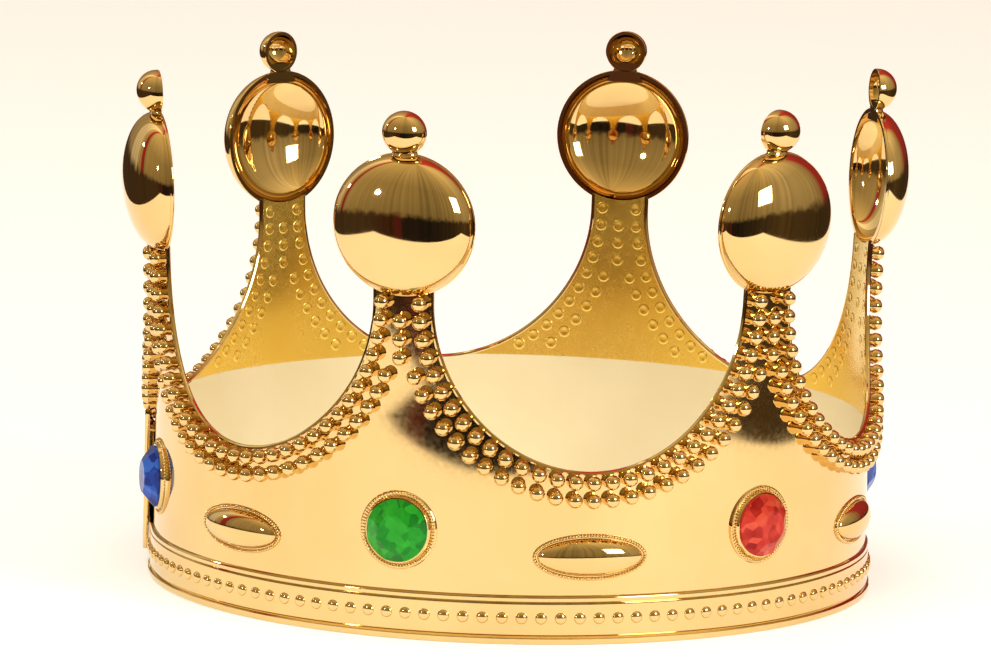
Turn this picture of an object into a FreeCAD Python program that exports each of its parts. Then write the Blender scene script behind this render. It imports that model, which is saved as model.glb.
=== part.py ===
"""Costume king's crown: one moulded strip of gilded plastic closed into a ring, with six glued gems.

Frame: +Z up, the origin on the ring's axis at the height of the bottom rim, millimetres.
The six points stand at -90, -30, 30, 90, 150 and 210 degrees, and the six swags hang between them.
The strip's two ends overlap in the swag at 180 degrees.
"""
import FreeCAD, Part
import math
import os

import Sketcher
from FreeCAD import Placement, Rotation, Vector

doc = FreeCAD.newDocument("crown")
sheet = doc.addObject("Spreadsheet::Sheet", "Sizes")

# Every size is in millimetres or degrees, or is a count.
SIZES = [
    # ring and wall
    ("head_radius", 91.8),
    ("wall_thickness", 1.2),
    ("wall_flats", 60),
    ("point_count", 6),
    # bottom band, which stands proud of the wall between a rim and a ridge
    ("band_height", 12.2),
    ("band_proud", 0.8),
    ("rim_height", 1.9),
    ("ridge_height", 1.3),
    ("ridge_proud", 0.6),
    ("band_bead_count", 120),
    ("band_bead_diameter", 3.0),
    ("band_bead_proud", 1.1),
    ("band_bead_level", 6.6),
    # swags: the openings between the points, and the two rows of beads along them
    ("swag_centre_level", 85.0),
    ("swag_half_width", 39.8),
    ("swag_drop", 42.1),
    ("bead_diameter", 3.5),
    ("bead_proud", 3.6),
    ("bead_pitch", 4.65),
    ("upper_row_side_inset", 2.8),
    ("upper_row_inset", 2.0),
    ("lower_row_side_inset", 7.5),
    ("lower_row_inset", 6.5),
    ("centre_bead_count", 3),
    # finials: a hollow dome, a neck and a hollow half ball on each point, leaning out a little
    ("finial_back_gap", 0.2),
    ("dome_level", 104.4),
    ("dome_diameter", 36.4),
    ("dome_depth", 9.9),
    ("dome_wall", 1.1),
    ("stem_overlap", 4.0),
    ("ball_level", 127.6),
    ("ball_diameter", 11.0),
    ("ball_depth", 5.9),
    ("ball_wall", 0.9),
    ("neck_width", 6.4),
    ("neck_depth", 2.4),
    ("neck_overlap", 1.2),
    ("finial_lean_angle", 2.0),
    # gems and the bezels that hold them
    ("gem_level", 27.4),
    ("gem_diameter", 15.9),
    ("gem_girdle", 1.2),
    ("gem_thickness", 4.6),
    ("gem_break_height", 3.6),
    ("gem_break", 0.74),
    ("gem_table", 0.42),
    ("gem_clearance", 0.1),
    ("gem_seat_proud", 0.1),
    ("bezel_diameter", 19.8),
    ("bezel_proud", 1.0),
    # oval bosses under the swags
    ("oval_level", 22.0),
    ("oval_length", 29.8),
    ("oval_width", 12.2),
    ("oval_rim_width", 1.2),
    ("oval_rim_proud", 0.7),
    ("oval_dome_proud", 3.4),
    # the tongue of the strip's outer end, which laps over the inner end and is held by two studs
    ("tongue_angle", 22.0),
    ("tongue_end_angle", 16.0),
    ("tongue_thickness", 1.4),
    ("tongue_clearance", 0.1),
    ("tongue_foot_level", 4.0),
    ("tongue_inset", 9.0),
    ("stud_diameter", 3.0),
    ("stud_proud", 0.7),
    ("stud_end_distance", 7.0),
    ("lower_stud_level", 17.0),
    ("upper_stud_level", 35.0),
]
for row, (alias, number) in enumerate(SIZES, start=1):
    sheet.set("A%d" % row, alias)
    sheet.set("B%d" % row, str(number))
    sheet.setAlias("B%d" % row, alias)
doc.recompute()


def size(alias):
    return float(sheet.get(alias))


def count(alias):
    return int(round(size(alias)))


POINTS = count("point_count")
SECTOR = 360.0 / POINTS
FIRST_POINT = -90.0
FIRST_SWAG = FIRST_POINT - SECTOR / 2
SEAM_SWAG = 180.0
WALL_RADIUS = size("head_radius") + size("wall_thickness")
BAND_RADIUS = WALL_RADIUS + size("band_proud")
FINIAL_BACK = size("head_radius") + size("finial_back_gap")
MARGIN = 5.0

point_angles = [FIRST_POINT + k * SECTOR for k in range(POINTS)]
swag_angles = [FIRST_SWAG + k * SECTOR for k in range(POINTS)]


def is_seam(angle):
    return abs((angle - SEAM_SWAG + 180.0) % 360.0 - 180.0) < SECTOR / 4


def plane(body, role):
    return next(f for f in body.Origin.OriginFeatures if f.Role == role)


# The wall is drawn as a prism of many narrow flats, so that every bead stands on flat ground.
def flats_prism(body, name, radius, foot, height):
    """Adds an upright prism to the body. Its flats lie `radius` from the ring's axis."""
    prism = body.newObject("PartDesign::AdditivePrism", name)
    prism.AttachmentSupport = [(plane(body, "XY_Plane"), "")]
    prism.MapMode = "FlatFace"
    prism.setExpression("Polygon", "Sizes.wall_flats")
    prism.setExpression("Circumradius", "(%s) * 1 mm / cos(180 deg / Sizes.wall_flats)" % radius)
    prism.setExpression("Height", "(%s) * 1 mm" % height)
    prism.setExpression(".AttachmentOffset.Base.z", "(%s) * 1 mm" % foot)
    prism.setExpression(".AttachmentOffset.Rotation.Angle", "180 deg / Sizes.wall_flats")
    return prism


ring = doc.addObject("PartDesign::Body", "ring")
WALL = "Sizes.head_radius + Sizes.wall_thickness"
STEM_TOP = "Sizes.dome_level - Sizes.dome_diameter / 2 + Sizes.stem_overlap"
flats_prism(ring, "wall", WALL, "0", STEM_TOP)
flats_prism(ring, "band", WALL + " + Sizes.band_proud", "0", "Sizes.band_height")
flats_prism(ring, "rim", WALL + " + Sizes.band_proud + Sizes.ridge_proud", "0", "Sizes.rim_height")
flats_prism(ring, "ridge", WALL + " + Sizes.band_proud + Sizes.ridge_proud",
            "Sizes.band_height - Sizes.ridge_height", "Sizes.ridge_height")

# One opening, seen from outside: half an ellipse below, straight sides to above the stems.
top = size("dome_level") + MARGIN
half, level, drop = size("swag_half_width"), size("swag_centre_level"), size("swag_drop")
opening = ring.newObject("Sketcher::SketchObject", "opening")
opening.AttachmentSupport = [(plane(ring, "YZ_Plane"), "")]
opening.MapMode = "FlatFace"
centre, side = Vector(0, level, 0), Vector(half, level, 0)
foot, crest = Vector(0, level - drop, 0), Vector(0, level + drop, 0)
is_deep = drop >= half
ellipse = Part.Ellipse(foot, side, centre) if is_deep else Part.Ellipse(side, crest, centre)
first_turn = -math.pi / 2 if is_deep else math.pi
arc = opening.addGeometry(Part.ArcOfEllipse(ellipse, first_turn, first_turn + math.pi), False)
right = opening.addGeometry(Part.LineSegment(Vector(half, level, 0), Vector(half, top, 0)), False)
lid = opening.addGeometry(Part.LineSegment(Vector(half, top, 0), Vector(-half, top, 0)), False)
left = opening.addGeometry(Part.LineSegment(Vector(-half, top, 0), Vector(-half, level, 0)), False)
opening.exposeInternalGeometry(arc)
upright, level_axis = (left + 1, left + 2) if is_deep else (left + 2, left + 1)
# A line's or arc's points are 1 its start, 2 its end and 3 its centre; -1 and -2 are the sketch's X and Y axes.
opening.addConstraint([
    Sketcher.Constraint("Coincident", arc, 2, right, 1),
    Sketcher.Constraint("Coincident", right, 2, lid, 1),
    Sketcher.Constraint("Coincident", lid, 2, left, 1),
    Sketcher.Constraint("Coincident", left, 2, arc, 1),
    Sketcher.Constraint("PointOnObject", arc, 3, -2),
    Sketcher.Constraint("Vertical", upright),
    Sketcher.Constraint("Horizontal", arc, 2, arc, 3),
    Sketcher.Constraint("Horizontal", arc, 1, arc, 3),
    Sketcher.Constraint("Vertical", right),
    Sketcher.Constraint("Vertical", left),
    Sketcher.Constraint("Horizontal", lid),
])
for name, expression, constraint in (
    ("level", "Sizes.swag_centre_level", Sketcher.Constraint("DistanceY", -1, 1, arc, 3, level)),
    ("drop", "Sizes.swag_drop * 2", Sketcher.Constraint("Distance", upright, 2 * drop)),
    ("width", "Sizes.swag_half_width * 2", Sketcher.Constraint("Distance", level_axis, 2 * half)),
    ("side", "Sizes.dome_level - Sizes.swag_centre_level + %g" % MARGIN,
     Sketcher.Constraint("DistanceY", right, 1, right, 2, top - level)),
):
    index = opening.addConstraint(constraint)
    opening.renameConstraint(index, name)
    opening.setExpression("Constraints.%s" % name, "(%s) * 1 mm" % expression)
doc.recompute()

cut = ring.newObject("PartDesign::Pocket", "swag_cut")
cut.Profile = opening
cut.Reversed = True
cut.setExpression("Length", "(%s) * 1 mm + %g mm" % (WALL, MARGIN))
swags = ring.newObject("PartDesign::PolarPattern", "swags")
swags.Originals = [cut]
swags.Axis = (plane(ring, "Z_Axis"), [""])
swags.Angle = 360.0
swags.setExpression("Occurrences", "Sizes.point_count")
ring.Tip = swags
doc.recompute()


def outward(angle, level, distance):
    """A placement whose Z points out from the ring's axis at this angle, with Y upwards."""
    out = Vector(math.cos(math.radians(angle)), math.sin(math.radians(angle)), 0)
    up = Vector(0, 0, 1)
    return Placement(out * distance + up * level, Rotation(up.cross(out), up, out, "ZYX"))


def faceted(rings, sides, squash=1.0):
    """A closed solid of flat facets through rings of (radius, height), listed from the foot up.

    `squash` narrows it along Y into an oval. A last ring of radius 0 is a point.
    """
    def corners(radius, height):
        if radius == 0:
            return [Vector(0, 0, height)]
        turns = [2 * math.pi * (k + 0.5) / sides for k in range(sides)]
        return [Vector(radius * math.cos(t), squash * radius * math.sin(t), height) for t in turns]

    loops = [corners(radius, height) for radius, height in rings]
    outlines = [list(reversed(loops[0]))]
    if len(loops[-1]) > 1:
        outlines.append(loops[-1])
    for lower, upper in zip(loops, loops[1:]):
        for k in range(sides):
            n = (k + 1) % sides
            outlines.append([lower[k], lower[n]] + ([upper[n], upper[k]] if len(upper) > 1 else upper))
    faces = [Part.Face(Part.makePolygon(points + points[:1])) for points in outlines]
    return Part.Solid(Part.Shell(faces))


CREST_TURN = 75.0


def dome_rings(radius, foot, height, tiers, start=0.0):
    """Rings of a rounded dome, from its foot at this radius to a small flat at its crest."""
    turns = [math.radians(start + (CREST_TURN - start) * k / tiers) for k in range(tiers + 1)]
    return [(radius * math.cos(t), foot + height * math.sin(t)) for t in turns]


def placed(shape, placement):
    copy = shape.copy()
    copy.Placement = placement
    return copy


def part_feature(name, shapes):
    feature = doc.addObject("Part::Feature", name)
    feature.Shape = Part.makeCompound(shapes)
    return feature


# Beads. Their places are worked out on the wall unrolled: `along` the wall and `level` above the foot.
BEAD_SIDES = 4
BEAD_ROOT = size("wall_thickness") / 4
swag_bead = faceted([(size("bead_diameter") / 2, -BEAD_ROOT), (0, size("bead_proud"))], BEAD_SIDES)
band_bead = faceted([(size("band_bead_diameter") / 2, -BEAD_ROOT), (0, size("band_bead_proud"))], BEAD_SIDES)
unrolled_half_width = WALL_RADIUS * math.asin(size("swag_half_width") / WALL_RADIUS)
point_axis = WALL_RADIUS * math.radians(SECTOR / 2)


CURVE_STEPS = 400


def row_places(side_inset, inset):
    """Even steps along half an ellipse set in from the opening's edge, from its foot to its side."""
    width = unrolled_half_width + side_inset
    depth = size("swag_drop") + inset
    turns = [math.pi / 2 * k / CURVE_STEPS for k in range(CURVE_STEPS + 1)]
    curve = [(width * math.sin(t), size("swag_centre_level") - depth * math.cos(t)) for t in turns]
    run = [0.0]
    for start, end in zip(curve, curve[1:]):
        run.append(run[-1] + math.dist(start, end))
    steps = round(run[-1] / size("bead_pitch"))
    reaches = [run[-1] * k / steps for k in range(steps + 1)]
    nearest = [min(range(CURVE_STEPS + 1), key=lambda k: abs(run[k] - reach)) for reach in reaches]
    return [curve[k] for k in nearest]


def turned(angle, along):
    """The angle of a place `along` the unrolled wall from this angle."""
    return angle + math.degrees(along / WALL_RADIUS)


upper_row = row_places(size("upper_row_side_inset"), size("upper_row_inset"))
lower_row = [(along, level)
             for along, level in row_places(size("lower_row_side_inset"), size("lower_row_inset"))
             if along <= point_axis - size("bead_pitch") / 2]
half_swag = upper_row + lower_row
whole_swag = half_swag + [(-along, level) for along, level in half_swag if along > 0]
first_centre = lower_row[-1][1] + size("bead_pitch")
centre_levels = [first_centre + k * size("bead_pitch") for k in range(count("centre_bead_count"))]
swag_beads = part_feature("swag_beads", [
    placed(swag_bead, outward(turned(angle, along), level, WALL_RADIUS))
    for angle in swag_angles for along, level in whole_swag
] + [
    placed(swag_bead, outward(angle, level, WALL_RADIUS))
    for angle in point_angles for level in centre_levels
])

# The tongue runs from its root in the wall to its free end, clear of the ridge and of any bead.
TONGUE_END = SEAM_SWAG + size("tongue_end_angle")
TONGUE_ROOT = TONGUE_END - size("tongue_angle")
tongue_inside = BAND_RADIUS + size("ridge_proud") + size("tongue_clearance")
tongue_outside = tongue_inside + size("tongue_thickness")


def under_tongue(angle):
    spare = math.degrees(size("band_bead_diameter") / BAND_RADIUS)
    return TONGUE_ROOT - spare < angle < TONGUE_END + spare


band_step = 360.0 / count("band_bead_count")
band_bead_angles = [(k + 0.5) * band_step for k in range(count("band_bead_count"))]
band_beads = part_feature("band_beads", [
    placed(band_bead, outward(angle, size("band_bead_level"), BAND_RADIUS))
    for angle in band_bead_angles if not under_tongue(angle)
])


def ring_point(radius, angle):
    return Vector(radius * math.cos(math.radians(angle)), radius * math.sin(math.radians(angle)), 0)


TONGUE_FLATS = 6
tongue_turns = [TONGUE_ROOT + size("tongue_angle") * k / TONGUE_FLATS for k in range(TONGUE_FLATS + 1)]
root_width = math.degrees(size("tongue_thickness") / WALL_RADIUS)
root_radius = WALL_RADIUS - size("wall_thickness") / 2
tongue_plan = [ring_point(tongue_outside, angle) for angle in tongue_turns]
tongue_plan += [ring_point(tongue_inside, angle) for angle in reversed(tongue_turns[1:])]
tongue_plan += [ring_point(tongue_inside, TONGUE_ROOT + root_width),
                ring_point(root_radius, TONGUE_ROOT + root_width), ring_point(root_radius, TONGUE_ROOT)]
tongue = Part.Face(Part.makePolygon(tongue_plan + tongue_plan[:1]))
tongue = tongue.extrude(Vector(0, 0, size("swag_centre_level") - size("tongue_foot_level")))
tongue.translate(Vector(0, 0, size("tongue_foot_level")))
swag_shadow = Part.Ellipse(Vector(0, size("swag_drop") + size("tongue_inset"), 0),
                           Vector(size("swag_half_width") + size("tongue_inset"), 0, 0), Vector(0, 0, 0))
swag_shadow = Part.Face(Part.Wire(swag_shadow.toShape())).extrude(Vector(0, 0, tongue_outside + MARGIN))
tongue = tongue.cut(placed(swag_shadow, outward(SEAM_SWAG, size("swag_centre_level"), 0)))
STUD_SIDES = 6
stud_angle = turned(TONGUE_END, -size("stud_end_distance"))
stud = faceted([(size("stud_diameter") / 2, root_radius),
                (size("stud_diameter") / 2, tongue_outside + size("stud_proud"))], STUD_SIDES)
closure = part_feature("closure", [tongue] + [
    placed(stud, outward(stud_angle, level, 0)) for level in (size("lower_stud_level"), size("upper_stud_level"))
])

# Finials: the outsides of the dome and the half ball, the neck, and the hollows open to the back.
DOME_SIDES, DOME_TIERS = 12, 3
BALL_SIDES, BALL_TIERS = 8, 2
dome_radius, ball_radius = size("dome_diameter") / 2, size("ball_diameter") / 2


def skin(radius, depth, flange, sides, tiers):
    return faceted([(radius, 0)] + dome_rings(radius, flange, depth - flange, tiers), sides)


def hollow(radius, depth, wall, sides, tiers):
    inner = dome_rings(radius - wall, 0, depth - wall, tiers)
    return faceted([(radius - wall, -MARGIN)] + inner, sides)


dome_skin = skin(dome_radius, size("dome_depth"), size("dome_wall"), DOME_SIDES, DOME_TIERS)
dome_hollow = hollow(dome_radius, size("dome_depth"), size("dome_wall"), DOME_SIDES, DOME_TIERS - 1)
ball_skin = skin(ball_radius, size("ball_depth"), size("ball_wall"), BALL_SIDES, BALL_TIERS)
ball_hollow = hollow(ball_radius, size("ball_depth"), size("ball_wall"), BALL_SIDES, BALL_TIERS - 1)
neck_foot = size("dome_level") + dome_radius - size("neck_overlap")
neck_top = size("ball_level") - ball_radius + size("neck_overlap")
neck = Part.makeBox(size("neck_width"), neck_top - neck_foot, size("neck_depth"),
                    Vector(-size("neck_width") / 2, 0, 0))
finial_foot = size("dome_level") - dome_radius
lean = Rotation(Vector(1, 0, 0), size("finial_lean_angle"))


def leaning(angle, level):
    """The placement at this level of a finial that leans outwards from its foot."""
    foot_place = outward(angle, finial_foot, FINIAL_BACK)
    return foot_place.multiply(Placement(lean.multVec(Vector(0, level - finial_foot, 0)), lean))


finial_skins, finial_hollows = [], []
for angle in point_angles:
    dome_place = leaning(angle, size("dome_level"))
    ball_place = leaning(angle, size("ball_level"))
    neck_place = leaning(angle, neck_foot)
    finial_skins += [placed(dome_skin, dome_place), placed(ball_skin, ball_place), placed(neck, neck_place)]
    finial_hollows += [placed(dome_hollow, dome_place), placed(ball_hollow, ball_place)]
finials = part_feature("finials", finial_skins)

# Bezels: a low round boss on each stem, with a flat-floored seat for its gem.
GEM_SIDES = 12
seat_distance = WALL_RADIUS + size("gem_seat_proud")
bezel_radius = size("bezel_diameter") / 2
seat_radius = size("gem_diameter") / 2 + size("gem_clearance")
boss = faceted([(bezel_radius, -MARGIN), (bezel_radius, size("bezel_proud"))], GEM_SIDES)
seat = faceted([(seat_radius, 0), (seat_radius, MARGIN)], GEM_SIDES)
bezels = part_feature("bezels", [
    placed(boss, outward(angle, size("gem_level"), WALL_RADIUS)) for angle in point_angles
])
seats = [placed(seat, outward(angle, size("gem_level"), seat_distance)) for angle in point_angles]

# Oval bosses: a rim that follows the wall, and a dome inside it. The tongue takes the place of one.
OVAL_SIDES, OVAL_TIERS, OVAL_FOOT_TURN = 12, 2, 12.0
rim_radius = size("oval_length") / 2
rim_plate = faceted([(rim_radius, -MARGIN), (rim_radius, MARGIN)], OVAL_SIDES,
                    size("oval_width") / size("oval_length"))
oval_radius = rim_radius - size("oval_rim_width")
oval_dome = faceted([(oval_radius, -MARGIN)]
                    + dome_rings(oval_radius, 0, size("oval_dome_proud"), OVAL_TIERS, OVAL_FOOT_TURN),
                    OVAL_SIDES, (size("oval_width") / 2 - size("oval_rim_width")) / oval_radius)
limit_radius = (WALL_RADIUS + size("oval_rim_proud")) / math.cos(math.pi / count("wall_flats"))
rim_limit = faceted([(limit_radius, 0), (limit_radius, size("swag_centre_level"))], count("wall_flats"))
oval_forms = []
for angle in swag_angles:
    if not is_seam(angle):
        oval_place = outward(angle, size("oval_level"), WALL_RADIUS)
        oval_forms += [placed(rim_plate, oval_place).common(rim_limit), placed(oval_dome, oval_place)]
ovals = part_feature("ovals", oval_forms)

# The shell: everything moulded in one, opened by the head's bore, the hollows and the gem seats.
bore = Part.makeCylinder(size("head_radius"), size("dome_level"))
forms = (finials, bezels, ovals, closure, swag_beads, band_beads)
shell = ring.Shape.multiFuse([form for feature in forms for form in feature.Shape.Solids])
shell = shell.cut([bore] + finial_hollows + seats)
crown_shell = doc.addObject("Part::Feature", "crown_shell")
crown_shell.Shape = shell.Solids[0] if len(shell.Solids) == 1 else shell
crown_shell.Label = "crown_shell"
sub_parts = [crown_shell]

# Gems: a round cut stone with a flat back, a girdle, two rows of facets and a table.
gem_radius = size("gem_diameter") / 2
gem = faceted([
    (gem_radius, 0), (gem_radius, size("gem_girdle")),
    (gem_radius * size("gem_break"), size("gem_break_height")),
    (gem_radius * size("gem_table"), size("gem_thickness")),
], GEM_SIDES)
GEM_NAMES = ["gem_green_front", "gem_red_front_right", "gem_blue_back_right",
             "gem_green_back", "gem_red_back_left", "gem_blue_front_left"]
for name, angle in zip(GEM_NAMES, point_angles):
    stone = doc.addObject("Part::Feature", name)
    stone.Shape = gem.copy()
    stone.Placement = outward(angle, size("gem_level"), seat_distance)
    stone.Label = name
    sub_parts.append(stone)
doc.recompute()

for item in doc.Objects:
    if "Invalid" in item.State or "Error" in item.State:
        raise RuntimeError("%s has not been built: %s" % (item.Name, item.State))
for item in sub_parts:
    if item.Shape.isNull() or not item.Shape.isValid() or len(item.Shape.Solids) != 1:
        raise RuntimeError("%s is not one valid solid" % item.Label)

os.makedirs("parts", exist_ok=True)
for item in sub_parts:
    item.Shape.exportStep("parts/%s.step" % item.Label)
    print("%-22s %8.1f mm3, %4d faces" % (item.Label, item.Shape.Volume, len(item.Shape.Faces)))
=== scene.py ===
"""A costume king's crown on a pale studio floor: the fine meshes and finishes around the fixed frame."""
import math

import bpy
from mathutils import Matrix, Quaternion, Vector


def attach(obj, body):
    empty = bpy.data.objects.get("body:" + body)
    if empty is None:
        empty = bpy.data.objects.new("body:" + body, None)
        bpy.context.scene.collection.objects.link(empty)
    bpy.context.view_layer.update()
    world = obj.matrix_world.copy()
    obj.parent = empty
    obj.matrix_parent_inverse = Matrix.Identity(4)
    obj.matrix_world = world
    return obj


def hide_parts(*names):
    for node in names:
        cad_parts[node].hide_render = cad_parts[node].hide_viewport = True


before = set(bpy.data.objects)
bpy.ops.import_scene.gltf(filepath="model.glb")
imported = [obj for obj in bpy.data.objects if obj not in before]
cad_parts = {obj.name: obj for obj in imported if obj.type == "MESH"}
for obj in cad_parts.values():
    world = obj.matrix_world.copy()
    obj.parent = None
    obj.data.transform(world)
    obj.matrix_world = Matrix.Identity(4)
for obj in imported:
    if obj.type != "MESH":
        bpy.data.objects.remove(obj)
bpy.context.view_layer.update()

# The studio. A long lens looks at the crown from a little above the white table that it stands on.
# Beyond the table's edge is a dim warm room with three small lamps in it. Two large soft lights, which the
# gold doesn't reflect, light the table and the gems, and the table has a painted glow: an emission of its
# own that lifts the shade on it.
MM = 0.001
scene = bpy.context.scene
scene.view_settings.view_transform = "Standard"

VIEW_AZIMUTH, VIEW_ELEVATION, VIEW_ROLL = math.radians(17.3), math.radians(8.99), math.radians(1.44)
VIEW_DISTANCE = 2.0
LENS, SENSOR, FAR_CLIP = 279.0, 36.0, 50.0
VIEW_TARGET = Vector((0, 0, 60 * MM))
AIM_RIGHT, AIM_UP = -4.91 * MM, 4.17 * MM


def toward(azimuth, elevation):
    """A direction: azimuth 0 is to the front, and 90 degrees to the right."""
    flat = math.cos(elevation)
    return Vector((math.sin(azimuth) * flat, -math.cos(azimuth) * flat, math.sin(elevation)))


to_camera = toward(VIEW_AZIMUTH, VIEW_ELEVATION)
view_right = Vector((math.cos(VIEW_AZIMUTH), math.sin(VIEW_AZIMUTH), 0))
view_up = to_camera.cross(view_right)
camera = bpy.data.objects.new("camera", bpy.data.cameras.new("camera"))
scene.collection.objects.link(camera)
scene.camera = camera
camera.data.sensor_width = SENSOR
camera.data.lens = LENS
camera.data.clip_end = FAR_CLIP
camera.location = VIEW_TARGET + to_camera * VIEW_DISTANCE
aim = VIEW_TARGET + view_right * AIM_RIGHT + view_up * AIM_UP
camera.rotation_mode = "QUATERNION"
camera.rotation_quaternion = ((aim - camera.location).to_track_quat("-Z", "Y")
                              @ Quaternion((0, 0, 1), VIEW_ROLL))


class Signal:
    """One output of a shader node. Arithmetic on it adds Math nodes to its own tree."""

    def __init__(self, socket):
        self.socket = socket

    @staticmethod
    def node(tree, kind, settings=None, inputs=None, output=0):
        """Adds a node, sets it up and feeds it, and gives one of its outputs."""
        made = tree.nodes.new(kind)
        for name, setting in (settings or {}).items():
            if name == "stops":
                elements = made.color_ramp.elements
                while len(elements) < len(setting):
                    elements.new(0.5)
                for element, (place, colour) in zip(elements, setting):
                    element.position = place
                    element.color = colour
            else:
                setattr(made, name, setting)
        for name, feed in (inputs or {}).items():
            if isinstance(feed, Signal):
                tree.links.new(feed.socket, made.inputs[name])
            else:
                made.inputs[name].default_value = feed
        return Signal(made.outputs[output])

    def worked(self, operation, first, second):
        return Signal.node(self.socket.id_data, "ShaderNodeMath", {"operation": operation},
                           {0: first, 1: second})

    def __add__(self, other):
        return self.worked("ADD", self, other)

    def __sub__(self, other):
        return self.worked("SUBTRACT", self, other)

    def __rsub__(self, other):
        return self.worked("SUBTRACT", other, self)

    def __mul__(self, other):
        return self.worked("MULTIPLY", self, other)

    __radd__ = __add__
    __rmul__ = __mul__


def ramp(tree, value, *stops):
    """Blends colours or greys along a value."""
    full = [(place, (*colour, 1.0) if isinstance(colour, tuple) else (colour, colour, colour, 1.0))
            for place, colour in stops]
    return Signal.node(tree, "ShaderNodeValToRGB", {"stops": full}, {"Fac": value})


def blended(tree, share, first, second, way="MIX"):
    return Signal.node(tree, "ShaderNodeMix", {"data_type": "RGBA", "blend_type": way},
                       {0: share, 6: first, 7: second}, 2)


def area_light(name, azimuth, elevation, distance, size, watts, shape="SQUARE", colour=(1, 1, 1)):
    light = bpy.data.lights.new(name, "AREA")
    light.shape, light.size, light.energy, light.color = shape, size, watts, colour
    holder = bpy.data.objects.new(name, light)
    scene.collection.objects.link(holder)
    aside = toward(math.radians(azimuth), math.radians(elevation))
    holder.location = VIEW_TARGET + aside * distance
    holder.rotation_mode = "QUATERNION"
    holder.rotation_quaternion = (-aside).to_track_quat("-Z", "Y")
    return holder


area_light("round_lamp", -33, 19, 1.5, 0.13, 1.6, "DISK", (1.0, 0.97, 0.9))
area_light("small_lamp", -92, 20, 1.8, 0.11, 1.0, "DISK", (1.0, 0.97, 0.9))
area_light("soft_box", 63, 21, 1.3, 0.40, 5.0, "SQUARE", (1.0, 0.99, 0.96))
for soft in (area_light("overhead", 10, 82, 2.0, 2.4, 13.2),
             area_light("front_fill", 5, 50, 2.2, 1.6, 13.2)):
    soft.visible_glossy = False

world = bpy.data.worlds.new("studio")
scene.world = world
world.use_nodes = True
tree = world.node_tree
tree.nodes.clear()
ray = Signal.node(tree, "ShaderNodeTexCoord", output="Generated")
sideways, depth, rise = (Signal.node(tree, "ShaderNodeSeparateXYZ", None, {0: ray}, axis) for axis in "XYZ")
bearing = sideways.worked("ARCTAN2", sideways, 0 - depth) * (0.5 / math.pi) + 0.5


def at(degrees):
    return 0.5 + degrees / 360


OLIVE, CREAM, RED = (0.36, 0.285, 0.15), (0.62, 0.55, 0.42), (0.30, 0.03, 0.03)
MAROON = (0.10, 0.02, 0.018)
room = ramp(tree, bearing,
            (at(-180), RED), (at(-160), (0.3, 0.2, 0.12)), (at(-122), OLIVE), (at(-118), CREAM),
            (at(-102), CREAM), (at(-97), OLIVE), (at(-92), OLIVE), (at(-91), RED), (at(-84), RED),
            (at(-82), OLIVE), (at(-25), (0.30, 0.235, 0.12)), (at(30), (0.24, 0.19, 0.10)), (at(60), OLIVE),
            (at(95), (0.44, 0.36, 0.22)), (at(135), OLIVE), (at(150), RED), (at(180), RED))
below = ramp(tree, bearing, (at(-180), (0.05, 0.03, 0.02)), (at(-45), (0.07, 0.045, 0.025)),
             (at(-17), (0.055, 0.02, 0.014)), (at(-15.5), MAROON), (at(-11.5), MAROON),
             (at(-10.5), (0.022, 0.014, 0.012)), (at(20), (0.02, 0.016, 0.014)),
             (at(60), (0.05, 0.035, 0.02)),
             (at(84), (0.09, 0.06, 0.03)), (at(125), (0.06, 0.04, 0.02)), (at(180), (0.05, 0.03, 0.02)))
clutter = Signal.node(tree, "ShaderNodeTexNoise", None, {"Vector": ray, "Scale": 9.0, "Detail": 3.0})
streaks = Signal.node(tree, "ShaderNodeTexNoise", None,
                      {"Vector": bearing * 60.0, "Scale": 1.0, "Detail": 1.0})
edge = Signal.node(tree, "ShaderNodeMapRange", {"interpolation_type": "SMOOTHSTEP"},
                   {"Value": rise + clutter * 0.16 - 0.08, "From Min": -0.06, "From Max": 0.04})
haze = blended(tree, edge, below, room)
bright = ramp(tree, rise * 0.5 + 0.5,
              (0.0, 0.8), (0.5, 0.8), (0.62, 1.0), (0.75, 1.1), (0.86, 1.5), (1.0, 2.2))
shade = ramp(tree, streaks, (0.3, 0.75), (0.7, 1.2))
surround = blended(tree, 1.0, blended(tree, 1.0, haze, bright, "MULTIPLY"), shade, "MULTIPLY")
seen = Signal.node(tree, "ShaderNodeLightPath", output="Is Camera Ray")
backdrop = blended(tree, seen, surround, (1.0, 1.0, 1.0, 1.0))
glow = Signal.node(tree, "ShaderNodeBackground", None, {"Color": backdrop, "Strength": 1.1})
tree.links.new(glow.socket, tree.nodes.new("ShaderNodeOutputWorld").inputs["Surface"])

TABLE_FRONT, TABLE_SIDE, TABLE_BACK = 338 * MM, 345 * MM, 1400 * MM
TABLE_LEVEL, TABLE_PAINTED_GLOW = -0.05 * MM, 0.36
bpy.ops.object.select_all(action="DESELECT")
bpy.ops.mesh.primitive_plane_add(size=1)
table = bpy.context.object
table.name = "table_top"
table.scale = (2 * TABLE_SIDE, TABLE_FRONT + TABLE_BACK, 1)
table_centre = Vector((0, (TABLE_BACK - TABLE_FRONT) / 2, TABLE_LEVEL))
table.location = Matrix.Rotation(VIEW_AZIMUTH, 3, "Z") @ table_centre
table.rotation_euler = (0, 0, VIEW_AZIMUTH)
white = bpy.data.materials.new("white_table")
white.use_nodes = True
lacquer = white.node_tree.nodes["Principled BSDF"]
lacquer.inputs["Base Color"].default_value = (0.88, 0.92, 0.94, 1)
lacquer.inputs["Roughness"].default_value = 0.8
# The emission is a painted glow that softens the shadows on the table.
lacquer.inputs["Emission Color"].default_value = (1, 1, 1, 1)
lacquer.inputs["Emission Strength"].default_value = TABLE_PAINTED_GLOW
table.data.materials.append(white)

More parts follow.
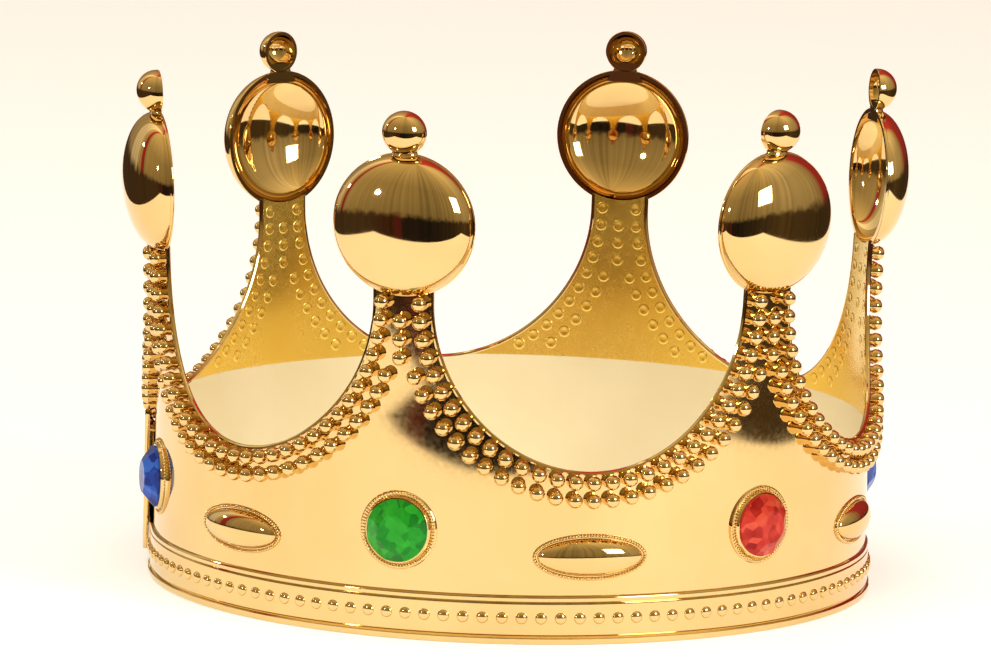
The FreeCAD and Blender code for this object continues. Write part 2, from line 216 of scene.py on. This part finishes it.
# The ring's wall. It is a strip of thin plastic, moulded flat and bent round, with six deep swags cut
# from its upper edge that leave a stem between each two, which leans out a little. Outside it is
# mirror gold. Inside, the stems are satin gold, and the band below the swags is a paler, matt lining.
HEAD_RADIUS, WALL_RADIUS = 91.8 * MM, 93.0 * MM
MIDDLE_RADIUS = (HEAD_RADIUS + WALL_RADIUS) / 2
SWAG_LEVEL, SWAG_HALF, SWAG_DROP, SWAG_TOP = 85.0 * MM, 39.8 * MM, 42.1 * MM, 25 * MM
STEM_TOP, WALL_FOOT, LINING_TOP, LINING_PROUD = 89.5 * MM, 0.2 * MM, 43.5 * MM, 0.25 * MM
POINT_ANGLES = [-90, -30, 30, 90, 150, 210]
SWAG_ANGLES = [-60, 0, 60, 120, 180, 240]
DOME_LEVEL, DOME_RADIUS, DOME_RIM = 104.4 * MM, 18.2 * MM, 1.1 * MM
ROUND_STEPS, LEVEL_STEP = 720, 4 * MM
LEAN_FROM, LEAN_EASE, LEAN = 58 * MM, 6 * MM, 0.045


def select_only(piece):
    bpy.ops.object.select_all(action="DESELECT")
    piece.select_set(True)
    bpy.context.view_layer.objects.active = piece


def turned(name, section, sides):
    """A piece turned as on a lathe, ring after ring, from (radius, level) points along its section."""
    section = [(max(radius, 0.001 * MM), level) for radius, level in section]
    bpy.ops.object.select_all(action="DESELECT")
    bpy.ops.mesh.primitive_circle_add(vertices=sides, radius=section[0][0])
    piece = bpy.context.object
    piece.name = name
    bpy.ops.object.mode_set(mode="EDIT")
    bpy.ops.mesh.select_all(action="SELECT")
    bpy.ops.transform.translate(value=(0, 0, section[0][1]))
    for (radius, level), (next_radius, next_level) in zip(section, section[1:]):
        bpy.ops.mesh.extrude_region_move(TRANSFORM_OT_translate={"value": (0, 0, next_level - level)})
        ratio = next_radius / radius
        bpy.ops.transform.resize(value=(ratio, ratio, 1), center_override=(0, 0, 0))
    bpy.ops.mesh.select_all(action="SELECT")
    bpy.ops.mesh.remove_doubles(threshold=0.004 * MM)
    bpy.ops.mesh.normals_make_consistent(inside=False)
    bpy.ops.object.mode_set(mode="OBJECT")
    return piece


def smooth(piece, degrees=35):
    select_only(piece)
    bpy.ops.object.shade_smooth_by_angle(angle=math.radians(degrees))


def leaned(piece):
    """Eases what stands on the stems outwards, as the real points lean."""
    for vertex in piece.data.vertices:
        above = vertex.co.z - LEAN_FROM
        if above > 0:
            radius = math.hypot(vertex.co.x, vertex.co.y)
            ratio = 1 + LEAN * above ** 2 / (above + LEAN_EASE) / radius
            vertex.co.x *= ratio
            vertex.co.y *= ratio


def finish_piece(piece, slot, *materials):
    """Gives a finished piece its place among the leaning points, its materials and its body."""
    leaned(piece)
    while len(piece.data.materials) < len(materials):
        piece.data.materials.append(None)
    for k, material in enumerate(materials):
        piece.data.materials[k] = material
    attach(piece, "root")


def gilding(name, deep, pale, gloss, ripple, metallic=1.0):
    """Vacuum-metallised gold: faint cloudiness and uneven gloss in its lacquer, and a soft ripple."""
    material = bpy.data.materials.new(name)
    material.use_nodes = True
    tree = material.node_tree
    shader = tree.nodes["Principled BSDF"]
    place = Signal.node(tree, "ShaderNodeTexCoord", output="Object")
    cloud = Signal.node(tree, "ShaderNodeTexNoise", None, {"Vector": place, "Scale": 38.0, "Detail": 3.0})
    grain = Signal.node(tree, "ShaderNodeTexNoise", None, {"Vector": place, "Scale": 900.0, "Detail": 2.0})
    wave = Signal.node(tree, "ShaderNodeTexNoise", None, {"Vector": place, "Scale": 60.0, "Detail": 1.0})
    colour = ramp(tree, cloud, (0.35, deep), (0.65, pale))
    tree.links.new(colour.socket, shader.inputs["Base Color"])
    sheen = Signal.node(tree, "ShaderNodeMapRange", None,
                        {"Value": cloud * 0.6 + grain * 0.4, "From Min": 0.35, "From Max": 0.65,
                         "To Min": gloss[0], "To Max": gloss[1]})
    tree.links.new(sheen.socket, shader.inputs["Roughness"])
    bump = Signal.node(tree, "ShaderNodeBump", None,
                       {"Height": wave * 0.95 + grain * 0.05, "Strength": ripple, "Distance": 0.02 * MM})
    tree.links.new(bump.socket, shader.inputs["Normal"])
    shader.inputs["Metallic"].default_value = metallic
    return material


mirror_gold = gilding("mirror_gold", (0.79, 0.55, 0.23), (0.83, 0.59, 0.26), (0.03, 0.08), 0.35)
satin_gold = gilding("satin_gold", (0.89, 0.62, 0.13), (0.94, 0.68, 0.17), (0.22, 0.30), 0.5)
pale_lining = gilding("pale_lining", (0.84, 0.73, 0.46), (0.88, 0.77, 0.51), (0.55, 0.65), 0.3, 0.0)

outside = [LEVEL_STEP * k for k in range(1, 23) if WALL_FOOT < LEVEL_STEP * k < STEM_TOP]
inside = [level for level in reversed(outside) if level > LINING_TOP + LINING_PROUD]
lining = [level for level in reversed(outside) if level < LINING_TOP]
outline = [(WALL_RADIUS, level) for level in [WALL_FOOT] + outside + [STEM_TOP]]
outline += [(HEAD_RADIUS, level) for level in [STEM_TOP] + inside + [LINING_TOP + LINING_PROUD]]
outline += [(HEAD_RADIUS - LINING_PROUD, level) for level in [LINING_TOP] + lining + [WALL_FOOT]]
wall = turned("crown_wall", outline + outline[:1], ROUND_STEPS)


def cut_from(piece, cutter):
    select_only(piece)
    cut = piece.modifiers.new("cut", "BOOLEAN")
    cut.operation = "DIFFERENCE"
    cut.object = cutter
    bpy.ops.object.modifier_apply(modifier=cut.name)
    bpy.data.objects.remove(cutter)


def long_bar(radius, degrees, level):
    """A bar right through the ring at this angle and level, lying on its side."""
    bpy.ops.object.select_all(action="DESELECT")
    bpy.ops.mesh.primitive_cylinder_add(vertices=128, radius=radius, depth=300 * MM, end_fill_type="NGON")
    bar = bpy.context.object
    bar.matrix_world = (Matrix.Translation((0, 0, level))
                        @ Matrix.Rotation(math.radians(degrees + 90), 4, "Z")
                        @ Matrix.Rotation(math.radians(90), 4, "X"))
    return bar


for angle in SWAG_ANGLES[:3]:
    swag = long_bar(1.0, 0, 0)
    lying = swag.matrix_world.copy()
    swag.matrix_world = Matrix.Identity(4)
    swag.scale = (SWAG_HALF, SWAG_DROP, 1)
    bpy.ops.object.transform_apply(location=True, rotation=True, scale=True)
    bpy.ops.object.mode_set(mode="EDIT")
    bpy.ops.mesh.select_all(action="SELECT")
    bpy.ops.mesh.bisect(plane_co=(0, 0, 0), plane_no=(0, 1, 0), clear_outer=True)
    bpy.ops.mesh.edge_face_add()
    bpy.ops.mesh.extrude_region_move(TRANSFORM_OT_translate={"value": (0, SWAG_TOP, 0)})
    bpy.ops.mesh.select_all(action="SELECT")
    bpy.ops.mesh.normals_make_consistent(inside=False)
    bpy.ops.object.mode_set(mode="OBJECT")
    swag.matrix_world = (Matrix.Translation((0, 0, SWAG_LEVEL))
                         @ Matrix.Rotation(math.radians(angle), 4, "Z") @ lying)
    cut_from(wall, swag)
for angle in POINT_ANGLES[:3]:
    cut_from(wall, long_bar(DOME_RADIUS - DOME_RIM, angle, DOME_LEVEL))
wall.data.materials.append(mirror_gold)
wall.data.materials.append(satin_gold)
wall.data.materials.append(pale_lining)
for polygon in wall.data.polygons:
    spot = polygon.center
    if math.hypot(spot.x, spot.y) < HEAD_RADIUS + 0.02 * MM:
        polygon.material_index = 2 if spot.z < LINING_TOP + LINING_PROUD else 1
smooth(wall)
finish_piece(wall, "gilded_plastic", mirror_gold, satin_gold, pale_lining)
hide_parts("crown_shell")

# The edge of each swag is rolled smooth all the way from stem to stem.
LIP_RADIUS, LIP_TOP = 0.7 * MM, 88.6 * MM


def swag_edge(turn):
    """A place on a swag's edge, as the way across it and its level. The turn runs from -90 to 90."""
    return SWAG_HALF * math.sin(math.radians(turn)), SWAG_LEVEL - SWAG_DROP * math.cos(math.radians(turn))


def on_ring(radius, across, level, degrees):
    """A point on the ring at this radius, `across` from the plane of the angle."""
    out = math.sqrt(radius ** 2 - across ** 2)
    return Matrix.Rotation(math.radians(degrees), 3, "Z") @ Vector((out, across, level))


def piped(name, route, radius, cyclic=False, sides=3):
    """A round bar along a route, as a mesh."""
    curve = bpy.data.curves.new(name, "CURVE")
    curve.dimensions = "3D"
    curve.bevel_depth, curve.bevel_resolution = radius, sides
    curve.use_fill_caps = not cyclic
    line = curve.splines.new("POLY")
    line.points.add(len(route) - 1)
    for point, spot in zip(line.points, route):
        point.co = (*spot, 1)
    line.use_cyclic_u = cyclic
    piece = bpy.data.objects.new(name, curve)
    scene.collection.objects.link(piece)
    select_only(piece)
    bpy.ops.object.convert(target="MESH")
    return bpy.context.object


def joined(name, pieces):
    bpy.ops.object.select_all(action="DESELECT")
    for piece in pieces:
        piece.select_set(True)
    bpy.context.view_layer.objects.active = pieces[0]
    if len(pieces) > 1:
        bpy.ops.object.join()
    pieces[0].name = name
    pieces[0].data.name = name
    return pieces[0]


lips = []
for angle in SWAG_ANGLES:
    route = [on_ring(MIDDLE_RADIUS, -SWAG_HALF, LIP_TOP, angle)]
    for k in range(97):
        across, level = swag_edge(-90 + 180 * k / 96)
        route.append(on_ring(MIDDLE_RADIUS, across, level, angle))
    route.append(on_ring(MIDDLE_RADIUS, SWAG_HALF, LIP_TOP, angle))
    lips.append(piped("lip", route, LIP_RADIUS))
swag_lips = joined("swag_lips", lips)
smooth(swag_lips)
finish_piece(swag_lips, "gilded_plastic", mirror_gold)

# The bottom band is moulded in one with the wall: a flange at the foot, a groove, a flat field for
# the beads, a fine line and a small ledge.
BAND_SECTION = [
    (92.2, 0.0), (93.9, 0.0), (94.2, 0.15), (94.3, 0.45), (94.3, 0.6), (94.3, 1.35), (94.28, 1.5),
    (94.1, 1.72), (93.6, 1.85), (93.4, 2.05), (93.5, 2.3), (93.78, 2.42), (93.8, 2.6), (93.8, 2.9),
    (93.8, 9.9), (93.8, 10.25), (93.75, 10.42), (93.5, 10.62), (93.75, 10.84), (93.8, 10.98),
    (93.8, 11.15), (93.8, 11.65), (93.78, 11.82), (93.6, 12.1), (93.25, 12.25), (93.0, 12.35),
    (92.6, 12.8), (92.2, 12.8), (92.2, 0.0),
]
band = turned("bottom_band", [(radius * MM, level * MM) for radius, level in BAND_SECTION], ROUND_STEPS)
smooth(band, 30)
finish_piece(band, "gilded_plastic", mirror_gold)


def outward(degrees, level, distance):
    """The placement whose Z points out of the ring at this angle, with Y upwards."""
    turn = math.radians(degrees)
    out, up = Vector((math.cos(turn), math.sin(turn), 0)), Vector((0, 0, 1))
    place = Matrix((up.cross(out), up, out)).transposed().to_4x4()
    place.translation = out * distance + up * level
    return place


def copies(name, pattern, places):
    """Copies of one shape, each with its own mesh, joined as one piece."""
    made = []
    for place in places:
        mesh = pattern.data.copy()
        mesh.transform(place)
        piece = bpy.data.objects.new(name, mesh)
        scene.collection.objects.link(piece)
        made.append(piece)
    bpy.data.objects.remove(pattern)
    return joined(name, made)


def rounded(radius, rise, foot, steps):
    """Section points of a rounded head of this radius and rise, from its foot to its crown."""
    turns = [math.pi / 2 * k / steps for k in range(steps + 1)]
    return [(radius * math.cos(t), foot + rise * math.sin(t)) for t in turns]


BAND_BEADS, BAND_BEAD_LEVEL, BAND_RADIUS = 120, 6.6 * MM, 93.8 * MM
SEAM_FROM, SEAM_TO = 172.0, 198.0
bead = turned("band_bead", [(1.6 * MM, -0.3 * MM)] + rounded(1.52 * MM, 0.8 * MM, 0.0, 4), 14)
band_angles = [(k + 0.5) * 360 / BAND_BEADS for k in range(BAND_BEADS)]
band_beads = copies("band_beads", bead, [outward(angle, BAND_BEAD_LEVEL, BAND_RADIUS)
                                         for angle in band_angles if not SEAM_FROM < angle < SEAM_TO])
smooth(band_beads, 50)
finish_piece(band_beads, "gilded_plastic", mirror_gold)

# Two rows of round-headed pegs follow each swag, and three more stand on each stem. They are moulded
# with the wall, and behind each one on the stems is a shallow dimple.
PEG_PITCH = 4.65 * MM
PEG_SECTION = [(1.5, -0.4), (1.5, 0.8), (1.92, 1.6), (1.95, 2.3), (1.45, 3.3), (0.75, 3.68), (0.0, 3.78)]
DIMPLE_SECTION = [(1.7, -0.05), (1.5, 0.1), (1.2, 0.12), (0.7, 0.03), (0.0, -0.02)]
UPPER_INSET, LOWER_INSET = (2.85 * MM, 2.0 * MM), (7.55 * MM, 6.5 * MM)
unrolled_half = WALL_RADIUS * math.asin(SWAG_HALF / WALL_RADIUS)
stem_axis = WALL_RADIUS * math.radians(30)


def row_places(side_inset, inset):
    """Even steps along half an ellipse round the swag on the unrolled wall, from its foot to its side."""
    steps = 360
    turns = [math.pi / 2 * k / steps for k in range(steps + 1)]
    line = [((unrolled_half + side_inset) * math.sin(t), SWAG_LEVEL - (SWAG_DROP + inset) * math.cos(t))
            for t in turns]
    run = [0.0]
    for start, end in zip(line, line[1:]):
        run.append(run[-1] + math.dist(start, end))
    pegs = round(run[-1] / PEG_PITCH)
    nearest = [min(range(steps + 1), key=lambda k: abs(run[k] - run[-1] * peg / pegs))
               for peg in range(pegs + 1)]
    return [line[k] for k in nearest]


upper_row = row_places(*UPPER_INSET)
lower_row = [spot for spot in row_places(*LOWER_INSET) if spot[0] <= stem_axis - PEG_PITCH / 2]
half_swag = upper_row + lower_row
whole_swag = half_swag + [(-along, level) for along, level in half_swag if along > 0]
peg_spots = [(angle + math.degrees(along / WALL_RADIUS), level)
             for angle in SWAG_ANGLES for along, level in whole_swag]
first_centre = lower_row[-1][1] + PEG_PITCH
peg_spots += [(angle, first_centre + k * PEG_PITCH) for angle in POINT_ANGLES for k in range(3)]
peg = turned("peg", [(radius * MM, level * MM) for radius, level in PEG_SECTION], 12)
pegs = copies("swag_pegs", peg, [outward(angle, level, WALL_RADIUS) for angle, level in peg_spots])
smooth(pegs, 60)
finish_piece(pegs, "gilded_plastic", mirror_gold)
dimple = turned("dimple", [(radius * MM, level * MM) for radius, level in DIMPLE_SECTION], 12)
about_turn = Matrix.Rotation(math.pi, 4, "Y")
dimples = copies("peg_dimples", dimple, [outward(angle, level, HEAD_RADIUS) @ about_turn
                                         for angle, level in peg_spots if level > LINING_TOP + 3 * MM])
smooth(dimples, 60)
finish_piece(dimples, "gilded_plastic", satin_gold)

# Finials. Each point ends in a hollow dome, open to the back, with a small hollow half ball above it
# on a short flat neck that flares into the dome's rim.
FINIAL_BACK = 92.0 * MM
DOME_DEPTH, DOME_WALL = 9.9 * MM, 1.1 * MM
BALL_LEVEL, BALL_RADIUS, BALL_DEPTH, BALL_WALL = 127.6 * MM, 5.5 * MM, 5.9 * MM, 0.9 * MM

outer = rounded(DOME_RADIUS - 0.35 * MM, DOME_DEPTH - 0.9 * MM, 0.9 * MM, 28)
inner = rounded(DOME_RADIUS - DOME_RIM, DOME_DEPTH - DOME_WALL, 0.0, 28)
rim = [(DOME_RADIUS - 0.1 * MM, 0.0), (DOME_RADIUS, 0.12 * MM), (DOME_RADIUS, 0.65 * MM),
       (DOME_RADIUS - 0.1 * MM, 0.82 * MM)]
dome = turned("dome", list(reversed(inner)) + rim + outer, 96)
domes = copies("domes", dome, [outward(angle, DOME_LEVEL, FINIAL_BACK) for angle in POINT_ANGLES])
smooth(domes, 40)
finish_piece(domes, "gilded_plastic", mirror_gold)

outer = rounded(BALL_RADIUS, BALL_DEPTH - 0.6 * MM, 0.6 * MM, 12)
inner = rounded(BALL_RADIUS - BALL_WALL, BALL_DEPTH - BALL_WALL, 0.0, 12)
rim = [(BALL_RADIUS - 0.1 * MM, 0.0), (BALL_RADIUS, 0.1 * MM)]
ball = turned("ball", list(reversed(inner)) + rim + outer, 48)
balls = copies("half_balls", ball, [outward(angle, BALL_LEVEL, FINIAL_BACK) for angle in POINT_ANGLES])
smooth(balls, 40)
finish_piece(balls, "gilded_plastic", mirror_gold)

NECK_LEVEL, NECK_FLAT = 122.4 * MM, 0.78
NECK_SECTION = [(0.0, -3.0), (4.9, -3.0), (4.7, -2.2), (3.9, -1.2), (3.3, -0.3), (3.1, 0.5), (3.25, 1.3),
                (3.6, 2.2), (0.0, 2.2)]
neck = turned("neck", [(radius * MM, level * MM) for radius, level in NECK_SECTION], 40)
neck.rotation_euler = (math.radians(-90), 0, 0)
neck.scale = (1, NECK_FLAT, 1)
bpy.ops.object.transform_apply(location=True, rotation=True, scale=True)
bpy.ops.object.mode_set(mode="EDIT")
bpy.ops.mesh.select_all(action="SELECT")
bpy.ops.mesh.bisect(plane_co=(0, 0, 0), plane_no=(0, 0, 1), clear_inner=True)
bpy.ops.mesh.edge_face_add()
bpy.ops.mesh.select_all(action="SELECT")
bpy.ops.mesh.normals_make_consistent(inside=False)
bpy.ops.object.mode_set(mode="OBJECT")
necks = copies("necks", neck, [outward(angle, NECK_LEVEL, FINIAL_BACK + 0.1 * MM)
                               for angle in POINT_ANGLES])
smooth(necks, 50)
finish_piece(necks, "gilded_plastic", mirror_gold)

# Oval bosses, moulded under the swags: a long polished dome inside a rim of tiny beads. The lap
# takes the place of the one at the seam.
OVAL_LEVEL, OVAL_HALF_LENGTH, OVAL_HALF_WIDTH, OVAL_PROUD = 22.0 * MM, 13.5 * MM, 4.8 * MM, 3.3 * MM
RIM_HALF_LENGTH, RIM_HALF_WIDTH, RIM_BAR, RIM_GRAINS = 14.25 * MM, 5.5 * MM, 0.45 * MM, 84
GRAIN_RADIUS = 0.46 * MM
SEAM_SWAG = 180


def wrapped(piece, degrees, level):
    """Bends a piece drawn on the flat wall (X along, Y up, Z out) round the ring."""
    for vertex in piece.data.vertices:
        along, up, out = vertex.co
        turn = math.radians(degrees) + along / WALL_RADIUS
        vertex.co = ((WALL_RADIUS + out) * math.cos(turn), (WALL_RADIUS + out) * math.sin(turn), level + up)
    return piece


def even_oval(half_length, half_width, count):
    """Even steps round an oval."""
    steps = 720
    line = [(half_length * math.cos(math.tau * k / steps), half_width * math.sin(math.tau * k / steps))
            for k in range(steps + 1)]
    run = [0.0]
    for start, end in zip(line, line[1:]):
        run.append(run[-1] + math.dist(start, end))
    return [line[min(range(steps), key=lambda i: abs(run[i] - run[-1] * k / count))] for k in range(count)]


oval_pieces, grain_places = [], []
for angle in SWAG_ANGLES:
    if angle != SEAM_SWAG:
        section = [(OVAL_HALF_LENGTH, -0.6 * MM)] + rounded(OVAL_HALF_LENGTH, OVAL_PROUD, 0.0, 20)
        boss = turned("oval", section, 96)
        boss.scale = (1, OVAL_HALF_WIDTH / OVAL_HALF_LENGTH, 1)
        bpy.ops.object.transform_apply(location=True, rotation=True, scale=True)
        oval_pieces.append(wrapped(boss, angle, OVAL_LEVEL))
        route = [(x, y, 0) for x, y in even_oval(RIM_HALF_LENGTH, RIM_HALF_WIDTH, 128)]
        oval_pieces.append(wrapped(piped("oval_rim", route, RIM_BAR, cyclic=True), angle, OVAL_LEVEL))
        for x, y in even_oval(RIM_HALF_LENGTH, RIM_HALF_WIDTH, RIM_GRAINS):
            grain_places.append(outward(angle + math.degrees(x / WALL_RADIUS), OVAL_LEVEL + y,
                                        WALL_RADIUS + 0.28 * MM))
ovals = joined("oval_bosses", oval_pieces)
smooth(ovals, 40)
finish_piece(ovals, "gilded_plastic", mirror_gold)

# Round bezels, moulded on the stems' feet: a milled ring, a groove and a smooth collar that the gem
# is glued into.
GEM_LEVEL, GEM_RADIUS, SEAT_DISTANCE = 27.4 * MM, 7.95 * MM, 93.1 * MM
BEZEL_SECTION = [(10.0, -0.9), (10.0, 0.0), (9.8, 0.22), (9.2, 0.28), (8.75, 0.12), (8.62, 0.3),
                 (8.5, 0.85), (8.25, 1.12), (7.9, 1.15), (7.72, 0.95), (7.7, 0.5), (7.7, -0.9), (10.0, -0.9)]
MILLED_RADIUS, MILLED_COUNT = 9.3 * MM, 72
bezel = turned("bezel", [(radius * MM, level * MM) for radius, level in BEZEL_SECTION], 96)
bezels = copies("bezels", bezel, [outward(angle, GEM_LEVEL, WALL_RADIUS) for angle in POINT_ANGLES])
smooth(bezels, 40)
finish_piece(bezels, "gilded_plastic", mirror_gold)
for angle in POINT_ANGLES:
    for k in range(MILLED_COUNT):
        spoke = Matrix.Rotation(math.tau * k / MILLED_COUNT, 4, "Z")
        spot = Matrix.Translation((MILLED_RADIUS, 0, 0.22 * MM)) @ Matrix.Diagonal((1.35, 0.72, 0.8, 1))
        grain_places.append(outward(angle, GEM_LEVEL, WALL_RADIUS) @ spoke @ spot)
grain = turned("grain", [(GRAIN_RADIUS, -0.2 * MM)] + rounded(GRAIN_RADIUS, GRAIN_RADIUS, 0.0, 2), 8)
grains = copies("rim_grains", grain, grain_places)
smooth(grains, 60)
finish_piece(grains, "gilded_plastic", mirror_gold)

# The lap at the seam: the strip's outer end is a plain tongue that overlaps the inner end, held by
# two studs pressed through both.
TONGUE_ROOT, TONGUE_END, TONGUE_FOOT = 174.0, 196.0, 4.0 * MM
TONGUE_IN, TONGUE_OUT, TONGUE_INSET = 1.5 * MM, 2.9 * MM, 9.0 * MM
ROOT_TOP, ROOT_RADIUS, STUD_LEVELS = 34.0 * MM, 1.6 * MM, (17.0 * MM, 35.0 * MM)
bpy.ops.object.select_all(action="DESELECT")
bpy.ops.mesh.primitive_grid_add(x_subdivisions=44, y_subdivisions=20, size=1)
tongue = bpy.context.object
tongue.name = "lap"
tongue_from = math.radians(TONGUE_ROOT - SEAM_SWAG) * WALL_RADIUS
tongue_to = math.radians(TONGUE_END - SEAM_SWAG) * WALL_RADIUS
for vertex in tongue.data.vertices:
    along = tongue_from + (vertex.co.x + 0.5) * (tongue_to - tongue_from)
    share = along / (unrolled_half + TONGUE_INSET)
    top = SWAG_LEVEL - (SWAG_DROP + TONGUE_INSET) * math.sqrt(1 - share ** 2)
    vertex.co = (along, TONGUE_FOOT + (vertex.co.y + 0.5) * (top - TONGUE_FOOT), TONGUE_OUT)
select_only(tongue)
thick = tongue.modifiers.new("thickness", "SOLIDIFY")
thick.thickness, thick.offset = TONGUE_OUT - TONGUE_IN, -1
bpy.ops.object.modifier_apply(modifier=thick.name)
soft = tongue.modifiers.new("edges", "BEVEL")
soft.width, soft.segments, soft.limit_method = 0.4 * MM, 3, "ANGLE"
bpy.ops.object.modifier_apply(modifier=soft.name)
wrapped(tongue, SEAM_SWAG, 0)
root = piped("lap_root", [on_ring(WALL_RADIUS + 1.2 * MM, 0, level, TONGUE_ROOT)
                          for level in (TONGUE_FOOT + 0.7 * MM, ROOT_TOP)], ROOT_RADIUS, sides=5)
stud_angle = TONGUE_END - math.degrees(7.0 * MM / WALL_RADIUS)
shank = [(1.5 * MM, -2.0 * MM), (1.5 * MM, 0.3 * MM)]
stud = turned("stud", shank + rounded(1.45 * MM, 0.4 * MM, 0.35 * MM, 4), 20)
studs = copies("studs", stud, [outward(stud_angle, level, WALL_RADIUS + TONGUE_OUT)
                               for level in STUD_LEVELS])
lap = joined("lap", [tongue, root, studs])
smooth(lap, 40)
finish_piece(lap, "gilded_plastic", mirror_gold)

# Gems: round cut stones of clear tinted plastic with a foiled back, glued into the bezels.
GEM_NAMES = ["gem_green_front", "gem_red_front_right", "gem_blue_back_right",
             "gem_green_back", "gem_red_back_left", "gem_blue_front_left"]
# Each tint: a deep, a middle and a bright colour. The deep one is painted shade and the bright one painted
# glints from the faceted foil back; the middle one is the gem's tint.
TINTS = {
    "green": ((0.003, 0.15, 0.012), (0.008, 0.30, 0.015), (0.03, 0.46, 0.03)),
    "red": ((0.30, 0.004, 0.003), (0.62, 0.035, 0.02), (0.85, 0.13, 0.07)),
    "blue": ((0.003, 0.02, 0.20), (0.01, 0.06, 0.42), (0.04, 0.18, 0.75)),
}
CROWN_TOP = 4.6 * MM
# Each row of facets: how many, the first one's turn, their tilt, and the radius and level that they pass.
FACET_ROWS = ((8, 0.0, 40.0, 7.95, 1.3), (16, 11.25, 52.0, 7.95, 1.45), (8, 22.5, 24.0, 4.9, 4.2))


def tinted_with_painted_glints(name, deep, middle, bright):
    """Foil-backed clear plastic, drawn as an opaque tint: painted light and dark patches stand in for the
    glints and shade of the facets of its foiled back.
    """
    material = bpy.data.materials.new(name)
    material.use_nodes = True
    tree = material.node_tree
    shader = tree.nodes["Principled BSDF"]
    place = Signal.node(tree, "ShaderNodeTexCoord", output="Object")
    glint_cells = Signal.node(tree, "ShaderNodeTexVoronoi", None, {"Vector": place, "Scale": 420.0}, "Color")
    painted_glint_patch = Signal.node(tree, "ShaderNodeSeparateXYZ", None, {0: glint_cells}, "X")
    haze = Signal.node(tree, "ShaderNodeTexNoise", None, {"Vector": place, "Scale": 200.0, "Detail": 2.0})
    # The gem's colour carries painted glints and painted shade in patches, not only its own tint.
    colour = ramp(tree, painted_glint_patch * 0.45 + haze * 0.55, (0.25, deep), (0.5, middle), (0.8, bright))
    tree.links.new(colour.socket, shader.inputs["Base Color"])
    shader.inputs["Metallic"].default_value = 0.3
    shader.inputs["Roughness"].default_value = 0.3
    shader.inputs["Coat Weight"].default_value = 0.3
    shader.inputs["Specular IOR Level"].default_value = 0.1
    shader.inputs["Coat Roughness"].default_value = 0.03
    return material


finishes = {tint: tinted_with_painted_glints("%s_gem" % tint, *colours) for tint, colours in TINTS.items()}


def cut_stone():
    """A round blank, ground facet by facet: eight mains, sixteen breaks at the girdle and eight stars."""
    bpy.ops.object.select_all(action="DESELECT")
    bpy.ops.mesh.primitive_cylinder_add(vertices=64, radius=GEM_RADIUS, depth=CROWN_TOP,
                                        location=(0, 0, CROWN_TOP / 2))
    stone = bpy.context.object
    bpy.ops.object.transform_apply(location=True, rotation=True, scale=True)
    bpy.ops.object.mode_set(mode="EDIT")
    for facets, first, tilt, reach, level in FACET_ROWS:
        for k in range(facets):
            turn, lift = math.radians(first + 360 / facets * k), math.radians(tilt)
            bpy.ops.mesh.select_all(action="SELECT")
            across, aside = math.cos(turn), math.sin(turn)
            bpy.ops.mesh.bisect(plane_co=(reach * MM * across, reach * MM * aside, level * MM),
                                plane_no=(math.sin(lift) * across, math.sin(lift) * aside, math.cos(lift)),
                                use_fill=True, clear_outer=True)
    bpy.ops.mesh.select_all(action="SELECT")
    bpy.ops.mesh.remove_doubles(threshold=0.002 * MM)
    bpy.ops.mesh.normals_make_consistent(inside=False)
    bpy.ops.object.mode_set(mode="OBJECT")
    return stone


pattern = cut_stone()
for name, angle in zip(GEM_NAMES, POINT_ANGLES):
    mesh = pattern.data.copy()
    mesh.transform(outward(angle, GEM_LEVEL, SEAT_DISTANCE))
    stone = bpy.data.objects.new(name + "_stone", mesh)
    scene.collection.objects.link(stone)
    tint = name.split("_")[1]
    finish_piece(stone, "%s_gem" % tint, finishes[tint])
    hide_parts(name)
bpy.data.objects.remove(pattern)
